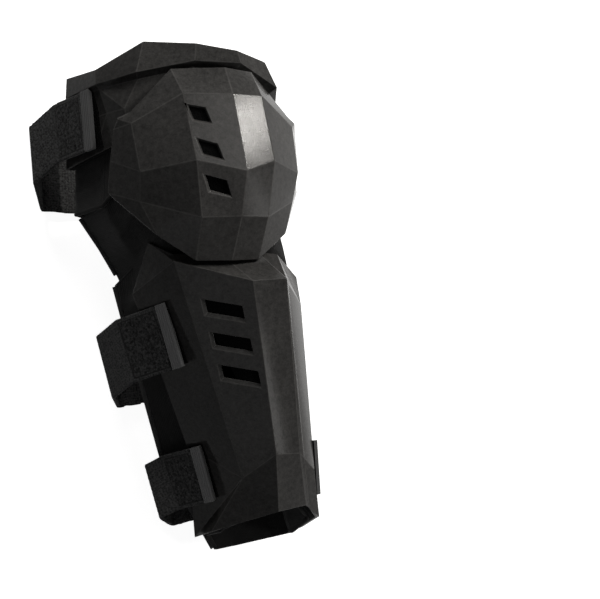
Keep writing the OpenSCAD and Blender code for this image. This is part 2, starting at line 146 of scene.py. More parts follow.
class Finish(Shader):
    """A material under construction."""

    def __init__(self, name):
        self.material = bpy.data.materials.new(name)
        self.material.use_nodes = True
        super().__init__(self.material.node_tree)
        self.surface = self.tree.nodes["Principled BSDF"]

    def set(self, **sockets):
        for key, value in sockets.items():
            self.feed(self.surface.inputs[key.replace("_", " ")], value)

    def mask(self, name):
        """A number that the piece's mesh holds under a name."""
        return self.node("ShaderNodeAttribute", {"attribute_name": name}, out="Fac")

    def cloth(self, axis):
        """Distance across (0) or along (1) a cloth piece, in metres."""
        place = self.node("ShaderNodeAttribute", {"attribute_name": "cloth"}, out="Vector")
        return self.node("ShaderNodeSeparateXYZ", None, {0: place}, axis)

    def noise(self, scale, detail=3.0, rough=0.55):
        place = self.node("ShaderNodeTexCoord", out="Object")
        return self.node("ShaderNodeTexNoise", None,
                         {"Vector": place, "Scale": scale, "Detail": detail, "Roughness": rough})

    def cells(self, scale):
        place = self.node("ShaderNodeTexCoord", out="Object")
        return self.node("ShaderNodeTexVoronoi", None, {"Vector": place, "Scale": scale},
                         "Distance")

    def ramp(self, factor, low, high):
        """From 0 at low to 1 at high."""
        return self.node("ShaderNodeMapRange", {"clamp": True},
                         {"Value": factor, "From Min": low, "From Max": high})

    def waves(self, axis, pitch):
        """Even waves from 0 to 1 across the cloth, at a pitch in metres."""
        return (self.cloth(axis) * (2 * math.pi / pitch)).sine() * 0.5 + 0.5

    def relief(self, height, distance, strength):
        """Fine surface relief, with its full height as a distance in metres."""
        self.set(Normal=self.node("ShaderNodeBump", None,
                                  {"Height": height, "Distance": distance, "Strength": strength}))


def grey(level, warm=0.0):
    """Near-neutral colour; warm above zero is a touch redder."""
    return (level * (1 + warm), level, level * (1 - warm), 1.0)


def moulded_plastic(level, wear_and_highlight):
    """Matt moulded plastic: fine grain, cloudy tone, edges painted paler as rubbed wear and as a
    painted highlight.
    """
    warm = 0.03
    f = Finish("moulded_plastic")
    cloud = f.ramp(f.noise(26.0, 4.0, 0.6), 0.32, 0.7)
    patch = f.ramp(f.noise(300.0, 4.0, 0.65), 0.3, 0.7)
    grain = f.ramp(f.noise(950.0, 3.0, 0.6), 0.3, 0.7)
    # Painted highlight along the rounded facet edges, mixed with rubbed wear: the edge mask makes
    # them paler
    rubbed_and_highlighted = f.mask("edge") * (f.ramp(f.noise(70.0, 5.0, 0.7), 0.25, 0.6) * 0.7 + 0.3)
    scuffs = f.ramp(f.noise(230.0, 6.0, 0.75), 0.62, 0.74)
    body = f.blend(cloud * 0.25 + patch * 0.45 + grain * 0.3,
                   grey(level * 0.4, warm), grey(level * 1.65, warm))
    worn_and_highlighted = (rubbed_and_highlighted + scuffs * 0.12) * wear_and_highlight
    f.set(Base_Color=f.blend(worn_and_highlighted, body, grey(level * 4.2, warm)),
          Roughness=patch * 0.04 + cloud * 0.03 + 0.105, Specular_IOR_Level=0.03)
    f.relief(grain * 0.5 + patch * 0.5, 0.0002, 0.1)
    return f.material


def knitted_fabric(level, name="knitted_fabric"):
    """Dense knit: fine wales along the piece with a soft nap."""
    f = Finish(name)
    wale = f.waves(0, 0.0016)
    course = f.waves(1, 0.0013)
    cloud = f.ramp(f.noise(45.0, 4.0, 0.6), 0.3, 0.7)
    nap = f.noise(1400.0, 3.0, 0.6)
    knit = wale * 0.5 + course * 0.25 + nap * 0.25
    f.set(Base_Color=f.blend(knit * 0.55 + cloud * 0.45, grey(level * 0.4), grey(level * 1.7)),
          Roughness=0.9, Specular_IOR_Level=0.08, Sheen_Weight=0.05, Sheen_Roughness=0.5)
    f.relief(knit * 0.85 + cloud * 0.15, 0.0004, 0.6)
    return f.material


def strap_cloth(level):
    """Hook-and-loop strap: curly pile in the panel, flat woven webbing elsewhere."""
    f = Finish("strap_cloth")
    pile = f.mask("pile")
    tuft = f.ramp(f.cells(600.0), 0.25, 0.6)
    curl = f.ramp(f.noise(1250.0, 4.0, 0.7), 0.36, 0.64)
    lump = f.ramp(f.noise(470.0, 4.0, 0.65), 0.43, 0.57)
    nap = f.ramp(f.noise(760.0, 4.0, 0.7), 0.4, 0.6)
    weave = f.waves(0, 0.0018) * 0.15 + f.waves(1, 0.0022) * 0.15 + nap * 0.7
    tufted = f.blend((1.0 - tuft) * 0.3 + lump * 0.7, grey(level * 0.1), grey(level * 3.4))
    woven = f.blend(weave, grey(level * 0.5), grey(level * 4.6))
    outline = pile * (1.0 - pile) * 3.4
    f.set(Base_Color=f.blend(outline, f.blend(pile, woven, tufted), grey(level * 0.2)),
          Roughness=0.9, Specular_IOR_Level=0.1, Sheen_Weight=0.06, Sheen_Roughness=0.4)
    f.relief((lump * 0.6 + curl * 0.4) * pile + weave * (1.0 - pile) * 0.4, 0.0007, 0.8)
    return f.material


def ribbed_rubber(level):
    """Moulded tab: matt rubber with a faint bloom."""
    f = Finish("ribbed_rubber")
    cloud = f.ramp(f.noise(70.0, 4.0, 0.6), 0.3, 0.7)
    speck = f.noise(1300.0, 2.0)
    f.set(Base_Color=f.blend(cloud * 0.6 + speck * 0.4, grey(level * 0.7), grey(level * 1.35)),
          Roughness=0.62, Specular_IOR_Level=0.3)
    f.relief(speck, 0.0003, 0.5)
    return f.material


def porous(name, scale, level, depth):
    """Dark foam, mesh or tape face, made of fine cells."""
    f = Finish(name)
    pores = f.ramp(f.cells(scale), 0.1, 0.6)
    cloud = f.noise(60.0, 3.0)
    f.set(Base_Color=f.blend(pores * 0.7 + cloud * 0.3, grey(level * 0.5), grey(level * 1.5)),
          Roughness=0.95, Specular_IOR_Level=0.03)
    f.relief(pores, depth, 0.8)
    return f.material


def unit(v):
    """Vector of length 1, or zero where it has no length."""
    return v.normalized() if v.length > 1e-9 else Vector()


def facing(g, i, j, ring):
    """Outward normal of a sheet at a point, as the solids have it."""
    rows, cols = len(g), len(g[0])
    after = g[i][(j + 1) % cols] if ring or j < cols - 1 else g[i][j]
    before = g[i][j - 1] if ring or j > 0 else g[i][j]
    above, below = g[max(0, i - 1)][j], g[min(rows - 1, i + 1)][j]
    return unit((unit(after - g[i][j]) + unit(g[i][j] - before)).cross(
        unit(above - g[i][j]) + unit(g[i][j] - below)))


def raised(g, height, ring=False):
    """Sheet moved out of its face by a height."""
    return [[p + height * facing(g, i, j, ring) for j, p in enumerate(row)]
            for i, row in enumerate(g)]


def points(rows):
    """Rows of millimetre triples about the elbow axis, as vectors."""
    return [[Vector(p) for p in row] for row in rows]


def spread(g, pitch, ring):
    """Finer sheet with cells of about one pitch."""
    rows, cols = len(g), len(g[0])
    spans = cols if ring else cols - 1
    across = [max(1, round(max((row[(j + 1) % cols] - row[j]).length for row in g) / pitch))
              for j in range(spans)]
    made = []
    for i in range(rows - 1):
        down = max(1, round(max((g[i + 1][j] - g[i][j]).length for j in range(cols)) / pitch))
        for t in range(down + (1 if i == rows - 2 else 0)):
            line = []
            for j in range(spans):
                k = (j + 1) % cols
                last = 1 if not ring and j == spans - 1 else 0
                for s in range(across[j] + last):
                    u = s / across[j]
                    over, below = g[i][j].lerp(g[i][k], u), g[i + 1][j].lerp(g[i + 1][k], u)
                    line.append(over.lerp(below, t / down))
            made.append(line)
    return made


def eased(g, ring):
    """Sheet with its creases softened; its border rows keep their place."""
    rows, cols = len(g), len(g[0])
    return [[p if i in (0, rows - 1) or (not ring and j in (0, cols - 1)) else
             p.lerp((g[i][(j + 1) % cols] + g[i][j - 1] + g[i + 1][j] + g[i - 1][j]) / 4, 0.5)
             for j, p in enumerate(row)] for i, row in enumerate(g)]


def wrinkle(p, depth, seed, bends):
    """Height of a fabric's small wrinkles at a point, deeper near the heights where it bends."""
    broad, fine, wander = 0.05, 0.12, 0.02
    reach, deeper, turning = 16.0, 1.3, 0.5
    shift = Vector((seed * 13.7, seed * 5.1, seed * 2.3))
    height = noise.noise(p * broad + shift) + 0.5 * noise.noise(p * fine + shift)
    near = max(math.exp(-((p.y - y) / reach) ** 2) for y in bends)
    fold = math.sin(p.y * turning + 2.2 * noise.noise(p * wander + shift))
    return depth * (height + deeper * near * fold)


def wrinkled(g, ring, depth, seed, bends):
    """Sheet with wrinkles of a depth in millimetres."""
    return [[p + facing(g, i, j, ring) * wrinkle(p, depth, seed, bends)
             for j, p in enumerate(row)] for i, row in enumerate(g)]


def store(mesh, name, domain, values):
    """Writes a number or a triple for each vertex or face of a mesh."""
    if isinstance(values[0], tuple):
        layer = mesh.attributes.new(name, "FLOAT_VECTOR", domain)
        layer.data.foreach_set("vector", [x for v in values for x in v])
    else:
        layer = mesh.attributes.new(name, "FLOAT", domain)
        layer.data.foreach_set("value", values)


def add_piece(name, mesh):
    """New object in the scene."""
    piece = bpy.data.objects.new(name, mesh)
    bpy.context.scene.collection.objects.link(piece)
    return piece


def solid_sheet(name, g, wall, ring=False):
    """Closed cloth solid behind a sheet, with its distances across and along."""
    inner = raised(g, -wall, ring)
    rows, cols = len(g), len(g[0])
    count = rows * cols
    spans = cols if ring else cols - 1
    verts = [ELBOW + p * MM for layer in (g, inner) for line in layer for p in line]
    faces = []
    for i in range(rows - 1):
        for j in range(spans):
            a, b = i * cols + j, i * cols + (j + 1) % cols
            c, d = b + cols, a + cols
            faces.append((d, c, b, a))
            faces.append((a + count, b + count, c + count, d + count))
    foot = (rows - 1) * cols
    for j in range(spans):
        k = (j + 1) % cols
        faces.append((j, k, k + count, j + count))
        faces.append((foot + k, foot + j, foot + j + count, foot + k + count))
    if not ring:
        for i in range(rows - 1):
            a, d = i * cols, (i + 1) * cols
            b, c = a + cols - 1, d + cols - 1
            faces.append((d, a, a + count, d + count))
            faces.append((b, c, c + count, b + count))
    mesh = bpy.data.meshes.new(name)
    mesh.from_pydata(verts, [], faces)
    middle = rows // 2
    across, along = [0.0], [[0.0] * cols]
    for j in range(1, cols):
        across.append(across[-1] + (g[middle][j] - g[middle][j - 1]).length * MM)
    for i in range(1, rows):
        along.append([along[-1][j] + (g[i][j] - g[i - 1][j]).length * MM for j in range(cols)])
    layer = [(across[j], along[i][j], 0.0) for i in range(rows) for j in range(cols)]
    store(mesh, "cloth", "POINT", layer + layer)
    return add_piece(name, mesh)


def sheet_size(g, ring):
    """Width, length and area of a sheet laid flat, in metres and square metres."""
    lines = [row + row[:1] for row in g] if ring else g
    width = max(sum((q - p).length for p, q in zip(row, row[1:])) for row in lines)
    length = max(sum((q - p).length for p, q in zip(line, line[1:])) for line in zip(*g))
    area = sum((c - a).cross(d - b).length / 2 for over, below in zip(lines, lines[1:])
               for a, b, c, d in zip(over, over[1:], below[1:], below))
    return width * MM, length * MM, area * MM * MM


def smooth(piece, angle):
    """Shades a piece smooth, with edges sharper than the angle in degrees kept."""
    b = bmesh.new()
    b.from_mesh(piece.data)
    bmesh.ops.recalc_face_normals(b, faces=b.faces)
    b.to_mesh(piece.data)
    b.free()
    for face in piece.data.polygons:
        face.use_smooth = True
    piece.data.set_sharp_from_angle(angle=math.radians(angle))


def apply_modifiers(piece):
    """Gives a piece the mesh that its modifiers make."""
    graph = bpy.context.evaluated_depsgraph_get()
    mesh = bpy.data.meshes.new_from_object(piece.evaluated_get(graph))
    piece.modifiers.clear()
    old = piece.data
    piece.data = mesh
    bpy.data.meshes.remove(old)


def finished(piece, body, material, nodes=()):
    """Gives a piece its material and body, and hides the solids that it stands for."""
    piece.data.materials.clear()
    piece.data.materials.append(material)
    if body:
        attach(piece, body)
    if nodes:
        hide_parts(*nodes)
    return piece


def grid_lines(g, wall):
    """Start, way and squared length of each grid line on the outer and inner face of a shell."""
    lines = []
    for sheet in (g, raised(g, -wall)):
        for i, row in enumerate(sheet):
            lines += list(zip(row, row[1:]))
            if i:
                lines += list(zip(sheet[i - 1], row))
    return [(p, q - p, (q - p).length_squared) for p, q in lines]


# Edges that bend less than FLAT degrees are dissolved. On a grid line, within ON_LINE millimetres,
# one that bends more than CREASE degrees is rounded
FLAT = 0.5
CREASE = 2.0
ON_LINE = 0.08


def bevelled(node, name, width, angle, segments=2, creases=()):
    """Copy of a solid with its sharp edges and creases rounded, and a mask on the rounded faces."""
    b = bmesh.new()
    b.from_mesh(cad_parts[node].data)
    bmesh.ops.remove_doubles(b, verts=b.verts, dist=1e-5)
    bmesh.ops.dissolve_limit(b, angle_limit=math.radians(FLAT), verts=b.verts, edges=b.edges)
    for face in b.faces:
        face.material_index = 0

    def creased(e):
        m = ((e.verts[0].co + e.verts[1].co) / 2 - ELBOW) / MM
        return any((m - (p + way * min(1.0, max(0.0, (m - p).dot(way) / size)))).length < ON_LINE
                   for p, way, size in creases)

    sharp = []
    for e in b.edges:
        bend = math.degrees(e.calc_face_angle(0)) if len(e.link_faces) == 2 else 0.0
        if bend > angle or (bend > CREASE and creased(e)):
            sharp.append(e)
    bmesh.ops.bevel(b, geom=sharp, offset=width * MM, segments=segments, profile=0.5,
                    affect="EDGES", clamp_overlap=True, material=1)
    bmesh.ops.recalc_face_normals(b, faces=b.faces)
    mesh = bpy.data.meshes.new(name)
    b.to_mesh(mesh)
    b.free()
    store(mesh, "edge", "FACE", [float(face.material_index) for face in mesh.polygons])
    for face in mesh.polygons:
        face.material_index = 0
        face.use_smooth = True
    piece = add_piece(name, mesh)
    even = piece.modifiers.new("facets", "WEIGHTED_NORMAL")
    even.mode = "FACE_AREA"
    even.weight = 60
    apply_modifiers(piece)
    return piece


def remeshed(node, name, voxel):
    """Copy of a soft solid as an even mesh with cells of voxel millimetres and soft corners."""
    piece = add_piece(name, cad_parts[node].data.copy())
    mod = piece.modifiers.new("even", "REMESH")
    mod.mode = "VOXEL"
    mod.voxel_size = voxel * MM
    apply_modifiers(piece)
    b = bmesh.new()
    b.from_mesh(piece.data)
    bmesh.ops.smooth_vert(b, verts=b.verts, factor=0.5, use_axis_x=True, use_axis_y=True,
                          use_axis_z=True)
    b.to_mesh(piece.data)
    b.free()
    return piece


def solid_tree(node):
    """A solid's faces, to find where a ray meets them."""
    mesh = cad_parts[node].data
    return BVHTree.FromPolygons([v.co for v in mesh.vertices],
                                [tuple(f.vertices) for f in mesh.polygons])


def under(p, covers, room):
    """Point lowered, where needed, to lie some room below the solids over it."""
    start = ELBOW + Vector((p.x, p.y, BACK)) * MM
    hits = [tree.ray_cast(start, UP)[0] for tree in covers]
    top = min([(hit.z - ELBOW.z) / MM for hit in hits if hit] or [math.inf])
    return Vector((p.x, p.y, min(p.z, top - room)))


def cord_mesh(name, path, wide, thick, closed=False, sides=10):
    """Binding along a path about the elbow axis; wide and thick are half its section."""
    b = bmesh.new()
    rings = []
    total = len(path)
    side = None
    for k, p in enumerate(path):
        before = path[k - 1] if k or closed else path[k]
        after = path[(k + 1) % total] if k < total - 1 or closed else path[k]
        t = unit(after - before)
        side = unit(t.cross(UP)) if side is None else unit(side - t * side.dot(t))
        lift = side.cross(t)
        ring = []
        for s in range(sides):
            a = 2 * math.pi * s / sides
            spot = p + side * (math.cos(a) * wide) + lift * (math.sin(a) * thick)
            ring.append(b.verts.new(ELBOW + spot * MM))
        rings.append(ring)
    for k in range(total if closed else total - 1):
        one, two = rings[k], rings[(k + 1) % total]
        for s in range(sides):
            b.faces.new((one[s], one[(s + 1) % sides], two[(s + 1) % sides], two[s]))
    if not closed:
        b.faces.new(rings[0][::-1])
        b.faces.new(rings[-1])
    mesh = bpy.data.meshes.new(name)
    b.to_mesh(mesh)
    b.free()
    piece = add_piece(name, mesh)
    smooth(piece, angle=60)
    return piece


def evenly(path, pitch):
    """Path with extra points, about one pitch apart."""
    made = []
    for a, c in zip(path, path[1:]):
        steps = max(1, round((c - a).length / pitch))
        made += [a.lerp(c, k / steps) for k in range(steps)]
    return made + [path[-1]]


# Forms in millimetres about the elbow axis, the same as the solids'. REACH and BAND are how far
# down the forearm its shell ends and its wrist band starts, and LEAN is how far the forearm goes
# aside for each millimetre of the way
REACH = 210.0
BAND = 172.0
LEAN = 0.15


def lean(x, y, z):
    """Point at a distance down the forearm."""
    return (x + LEAN * y, -y, z)


SHELL = points([
    [lean(-46.1, 27.5, 0), lean(-38.2, 38, 17), lean(-6, 38, 18), lean(22, 38, 18.5),
     lean(35.5, 40, 20), lean(56.6, 53, 0.8), lean(63.6, 54, -17)],
    [lean(-55.7, 58, -22), lean(-40.4, 43.6, 21), lean(0.6, 60.8, 44.4), lean(24.6, 60, 45.5),
     lean(34, 61.5, 29), lean(56.2, 72, -1), lean(59.8, 78, -27)],
    [lean(-31.7, BAND - 11, -45), lean(-12.5, BAND + 13.5, -9.8), lean(6.7, BAND, 9),
     lean(27.7, BAND + 0.5, 2.4), lean(32, BAND + 4, -1.5), lean(43.3, BAND + 12.7, -12),
     lean(45.3, BAND - 7, -58)],
    [lean(-30.5, REACH + 13, -70), lean(-29.1, REACH + 9.5, -43), lean(6.4, REACH, -6),
     lean(33.9, REACH - 2, -18), lean(38, REACH, -22), lean(49.5, REACH + 7, -32),
     lean(49.1, REACH + 14, -60)]])
SLEEVE_BACK = points([
    [(67, -50, -50), (45, -55, -76), (-15, -55, -78), (-45, -48, -56)],
    [(66, -78, -53), (45, -78, -78), (-11, -76, -79), (-40, -70, -58)],
    [lean(40.8, BAND - 4, -72), lean(24.8, BAND - 4, -82), lean(-17.2, BAND - 4, -83),
     lean(-38.8, BAND - 7, -74)],
    [lean(44.1, REACH + 16, -70), lean(31.8, REACH + 18, -78), lean(1.4, REACH + 21, -80),
     lean(-14.8, REACH + 22, -77)]])
CUFF = points([
    [(-74.4, 92.4, -40), (-66.9, 89, -5), (-41.6, 102.1, 20), (-11.4, 97.4, 36),
     (18, 93.9, 36), (46, 91.9, 20), (62.3, 80.4, -5), (58, 80.8, -40)],
    [(-75.5, 79, -42), (-68.7, 78.2, -2), (-49.1, 80.5, 22), (-12.4, 86.3, 34), (21, 86, 34),
     (53, 74, 21), (62.5, 67.5, -2), (60.5, 65, -42)],
    [(-75, 76, -42.5), (-65.5, 75.5, -3.5), (-46, 77.5, 16), (-12, 83.5, 28), (20, 83.2, 28),
     (49.5, 71, 15), (59.5, 64.5, -3.5), (60, 62, -42.5)],
    [(-76, 59, -45), (-61.5, 59.5, -4), (-55, 59, 11), (-12, 60, 31), (18, 58, 30), (50, 52, 11),
     (57, 48, -6), (60.5, 46, -45)],
    [(-76.8, 31.4, -48), (-65.9, 35.3, -20), (-52, 40, 10), (-12, 42, 30), (16, 41, 29),
     (46, 36, 9), (58.5, 23, -20), (59, 22, -48)]])


def cup_row(rim, cheek, edge, crease):
    """Row across the cup, the same on both sides but for its one crease."""
    left = [(-x, y, z) for x, y, z in (rim, cheek, edge)]
    return left + [crease, edge, cheek, rim]


CUP = points([
    cup_row((64, 49.5, 20.6), (57, 53, 24.5), (29, 81, 31.5), (6, 81, 39.5)),
    cup_row((66, 43.5, 16), (58, 45, 27.7), (28, 61, 45.5), (6, 61, 48)),
    cup_row((67.5, 24.5, 9.7), (56.5, 12.5, 32.4), (27.5, 15, 56.2), (5, 7.5, 60.5)),
    cup_row((69, 4.5, 4.7), (55, -5, 24), (23.5, -20, 47.5), (3, -20, 51)),
    cup_row((58, -9, 10), (46, -27.5, 26), (22.5, -45, 30), (1.5, -46, 33.5))])
LINER_HEM = points([[(-72.4, 1.3, -50), (-64.7, 1.2, -18), (-46, 26, 8), (-12, 32, 22),
                     (14, 31, 21), (40, 24, 6), (56, -3, -18), (53, -1, -50)]])[0]
# The liner's ends at the back: left and right side, and the place of each row on them
LINER_SIDES = (-57, 43)
LINER_BACK = [(88, 76), (77, 63), (74, 60), (59, 45), (34, 20), (3, 0)]
# The first and last rows lie inside the liner and the sleeve, so that no gap opens as the arm bends
GUSSET = points([
    [(-62, 12, -60), (-59, 12, -20), (-45, 34, 0), (-38, 38, 8), (-12, 44, 16), (12, 43, 15),
     (38, 34, 0), (44, 20, -2), (49, 7, -20), (47, 9, -60)],
    [(-64, 0.3, -62), (-62, 0.3, -20), (-52, 12, 2), (-43, 22, 18), (-12, 26, 48.5),
     (12, 26, 48.5), (40, 20, 18), (48, 8, 2), (53, -4.5, -20), (50, -2, -62)],
    [(-52, -21, -60), (-52, -20, -22), (-50, -8, -2), (-42, -4, 12), (-12, -8, 48),
     (12, -8, 48), (42, -6, 14), (54, -14, 0), (59, -24, -20), (58, -25, -58)],
    [(-43.5, -40, -57), (-41, -34, -26), (-41, -25, -4), (-33, -34.5, 10), (-6, -35, 12),
     (22, -35, 13), (42, -34, 14), (60, -44, -2), (67, -45.5, -20), (66, -47, -54)],
    [(-39, -54, -55), (-36.5, -48, -26), (-36, -42, -4), (-28, -50, 5), (-4, -50, 6),
     (20, -50, 6.5), (38, -50, 5), (54, -58, -4), (62, -60, -20), (61, -61, -52)]])


def at_wrist(x, y, z):
    """Point about the middle of the forearm shell's wrist end."""
    return (x + LEAN * REACH, y - REACH, z)


# Each strap: width, the body that its band rides on, points on its upper edge from the inner end
# round the back to the outer end, and the way from the upper to the lower edge at each point
STRAPS = {
    "upper": (40, "upper_arm",
              [(63.6, 62, -8), (64, 62, -45), (70, 56, -62), (62, 46, -92), (-8, 46, -92),
               (-84, 50, -86), (-96, 64.5, -62), (-83.5, 75.7, -45), (-71.4, 77, -8)],
              [(0, -1, 0)] * 9),
    "forearm": (44, "forearm",
                [(72.3, -64, -13), (75, -62, -30), (76.5, -61.5, -46), (61, -70, -92),
                 (10, -80, -92), (-48, -86, -86), (-60.9, -80.7, -60), (-54.7, -72.9, -38),
                 (-35, -67.4, 2.4)],
                [(0.4, -42, -6), (0, -42, -3), (3, -42, 0), (6, -42, 0), (7, -43, 0), (8, -43, 0),
                 (8, -43, 0), (8, -43, 0), (11, -42, -5)]),
    "wrist": (39, "forearm",
              [at_wrist(42.7, 45.5, -10), at_wrist(42.9, 46, -28), at_wrist(44, 47, -50),
               at_wrist(38.5, 44, -92), at_wrist(-3.5, 40, -92), at_wrist(-45.5, 34, -86),
               at_wrist(-61.5, 40, -70), at_wrist(-52.3, 44.9, -60), at_wrist(-37.7, 48.6, -27.4)],
              [(5, -38, -12), (5.5, -37.5, -4), (6, -37.5, -3), (6, -37, 0), (6, -38, 0),
               (7, -38, 0), (8, -38, 0), (8.5, -38, 0), (10, -40, -5)]),
}
# Flat border round a flap's pile, the path's point where the pile starts, and the tab's length
BORDER = 2.4
PANEL_FROM = 7
TAB = 9.0
# The pile in millimetres: its mean height, how much its tufts vary, and how far in from the border
# it reaches its height
PILE_LEVEL = 0.1
PILE_TUFT = 0.9
PILE_RISE = 1.2
# A flap turns on the path's stretch after this point, at this distance along it
FOLD_FROM = 5
FOLD_AT = 6.0
# The cloth in a flap's fold: places of its points along the strap, their shares of its width, its
# wall, and how deep it lies under the strap's face
FOLD_ALONG = (-4, -2.4, -1.6, -0.8, 0, 0.8, 1.6, 2.4, 4)
FOLD_ACROSS = (0.015, 0.25, 0.5, 0.75, 0.985)
FOLD_WALL = 2.4
FOLD_DEPTH = 0.1
# Half the floor's side, in metres
FLOOR = 1.8
# Square lamps: way from the elbow, distance and side in metres, power in watts, colour
LAMPS = {
    "main": ((0.35, 0.45, 0.8), 1.2, 0.45, 7.0, (1.0, 0.985, 0.96)),
    "glint": ((0.583, 0.567, 0.582), 1.3, 0.07, 7.0, (1.0, 0.97, 0.92)),
    "shoulder": ((-0.35, 0.85, 0.4), 1.2, 0.4, 4.5, (1.0, 0.99, 0.97)),
    "side": ((0.77, -0.37, 0.52), 1.25, 0.3, 3.8, (1.0, 0.99, 0.97)),
    "wrist": ((-0.63, -0.6, 0.5), 1.2, 0.45, 0.9, (0.97, 0.98, 1.0)),
}


class GUARD_OT_stage(bpy.types.Operator):
    """Pale floor, soft lights and the camera at the photograph's angle"""
    bl_idname = "elbow_guard.stage"
    bl_label = "Stage"

    def execute(self, context):
        scene = context.scene
        scene.view_settings.view_transform = "Standard"
        mesh = bpy.data.meshes.new("floor")
        corners = [(-FLOOR, -FLOOR, 0), (FLOOR, -FLOOR, 0), (FLOOR, FLOOR, 0), (-FLOOR, FLOOR, 0)]
        mesh.from_pydata(corners, [], [(0, 1, 2, 3)])
        floor = add_piece("floor", mesh)
        f = Finish("pale_floor")
        seen = f.seen()
        f.set(Base_Color=f.blend(seen, grey(0.06), grey(0.6)), Roughness=0.95,
              Specular_IOR_Level=0.0, Emission_Color=f.blend(seen, BLACK, WHITE),
              Emission_Strength=0.93)
        mesh.materials.append(f.material)
        scene.world = bpy.data.worlds.new("studio")
        scene.world.use_nodes = True
        w = Shader(scene.world.node_tree)
        back = w.tree.nodes["Background"]
        w.feed(back.inputs["Color"], w.blend(w.seen(), grey(0.03), WHITE))
        for name, lamp in LAMPS.items():
            self.softbox(scene, name, *lamp)
        self.camera(scene)
        return {"FINISHED"}

    def softbox(self, scene, name, way, far, side, power, tone):
        """Square lamp that faces the elbow."""
        data = bpy.data.lights.new(name, "AREA")
        data.shape = "SQUARE"
        data.size = side
        data.energy = power * scene.elbow_guard.light
        data.color = tone
        lamp = bpy.data.objects.new(name, data)
        lamp.location = ELBOW + unit(Vector(way)) * far
        lamp.rotation_euler = (-Vector(way)).to_track_quat("-Z", "Y").to_euler()
        scene.collection.objects.link(lamp)

    def camera(self, scene):
        """A 90 mm lens; the tilt, turn and roll are those that the photograph was matched to."""
        tilt, turn, roll, bend = (math.radians(a) for a in (6.5, 28.0, -1.2, 14.0))
        view = (Matrix.Rotation(tilt, 3, "X") @ Matrix.Rotation(turn, 3, "Y")
                @ Matrix.Rotation(roll, 3, "Z"))
        lift = Matrix.Rotation(bend, 3, "X")
        # Millimetres to a pixel. In pixels: the lens's distance, the guard's shift from the middle
        # of the picture, and the elbow axis
        pixel = 0.65
        away, shift = Vector((0, 0, 1490.4)), Vector((-69.1, -5.4, 0))
        elbow = Vector((0, 100, -45 / pixel))
        eye = view.transposed() @ (away - shift)
        data = bpy.data.cameras.new("camera")
        data.lens = 90.0
        data.sensor_width = 36.0
        cam = bpy.data.objects.new("camera", data)
        turned = (lift @ view.transposed()).to_4x4()
        turned.translation = lift @ ((eye - elbow) * pixel) * MM + ELBOW
        cam.matrix_world = turned
        scene.collection.objects.link(cam)
        scene.camera = cam


class GUARD_OT_shells(bpy.types.Operator):
    """Cuff, elbow cup and forearm shell in moulded plastic, with facet edges painted paler as wear
    and as a painted highlight
    """
    bl_idname = "elbow_guard.shells"
    bl_label = "Shells"

    def execute(self, context):
        prefs = context.scene.elbow_guard
        # The shells' edges are painted pale, partly as rubbed wear and partly as a painted
        # highlight
        material = moulded_plastic(prefs.shell_tone, prefs.wear_and_highlight)
        for node, body, grid in (("forearm_shell", "forearm", SHELL), ("elbow_cup", "elbow", CUP),
                                 ("upper_arm_cuff", "upper_arm", CUFF)):
            piece = bevelled(node, node + "_moulded", width=prefs.edge_round / MM, angle=25,
                             creases=grid_lines(grid, SHELL_WALL))
            finished(piece, body, material, [node])
        return {"FINISHED"}


class GUARD_OT_vents(bpy.types.Operator):
    """Mesh behind the vents and slots, near-black as its own dark tone and as painted shade in the
    slots' hollows
    """
    bl_idname = "elbow_guard.vents"
    bl_label = "Vent mesh"

    def execute(self, context):
        # Near-black: the mesh's dark tone with painted shade of the slots' hollows in it
        material = porous("open_mesh", scale=620, level=0.0012, depth=0.0006)
        for node, body in (("forearm_vent_mesh", "forearm"), ("cup_vent_mesh", "elbow")):
            piece = bevelled(node, node + "_net", width=0.2, angle=20)
            smooth(piece, angle=30)
            finished(piece, body, material, [node])
        return {"FINISHED"}


class GUARD_OT_pads(bpy.types.Operator):
    """Foam pads behind the shells, rounded at their edges"""
    bl_idname = "elbow_guard.pads"
    bl_label = "Foam pads"

    def execute(self, context):
        material = porous("closed_foam", scale=900, level=0.008, depth=0.0004)
        for node, body in (("forearm_pad", "forearm"), ("cuff_pad", "upper_arm"),
                           ("cup_pad", "elbow")):
            piece = bevelled(node, node + "_foam", width=1.1, angle=20, segments=3)
            smooth(piece, angle=35)
            finished(piece, body, material, [node])
        return {"FINISHED"}


class GUARD_OT_sleeve(bpy.types.Operator):
    """Forearm sleeve in knitted fabric with bound edges and a tape down its outer corner"""
    bl_idname = "elbow_guard.sleeve"
    bl_label = "Forearm sleeve"

    def execute(self, context):
        tone = context.scene.elbow_guard.fabric_tone
        knit = knitted_fabric(tone)
        tape = knitted_fabric(tone * TAPE_TONE, "binding_tape")
        rows = [front + back for front, back in zip(raised(SHELL, -LINING), SLEEVE_BACK)]
        plain = eased(spread(rows, pitch=4, ring=True), ring=True)
        g = wrinkled(plain, ring=True, depth=0.3, seed=3, bends=(-50, -205))
        piece = solid_sheet("forearm_sleeve_knit", g, SLEEVE_WALL, ring=True)
        smooth(piece, angle=60)
        finished(piece, "forearm", knit, ["forearm_sleeve"])
        middle = raised(g, -SLEEVE_WALL / 2, ring=True)
        for name, row in (("sleeve_top_binding", middle[0]), ("sleeve_wrist_binding", middle[-1])):
            hem = cord_mesh(name, row, wide=BINDING, thick=BINDING, closed=True)
            finished(hem, "forearm", knit)
        seated = Vector((-1.2, 0, 0.6))
        corner = evenly([row[-1] + seated for row in SLEEVE_BACK], pitch=4)
        strip = cord_mesh("sleeve_corner_tape", corner, wide=1.7, thick=0.5)
        finished(strip, "forearm", tape)
        width, length, area = sheet_size(plain, ring=True)
        return {"FINISHED"}


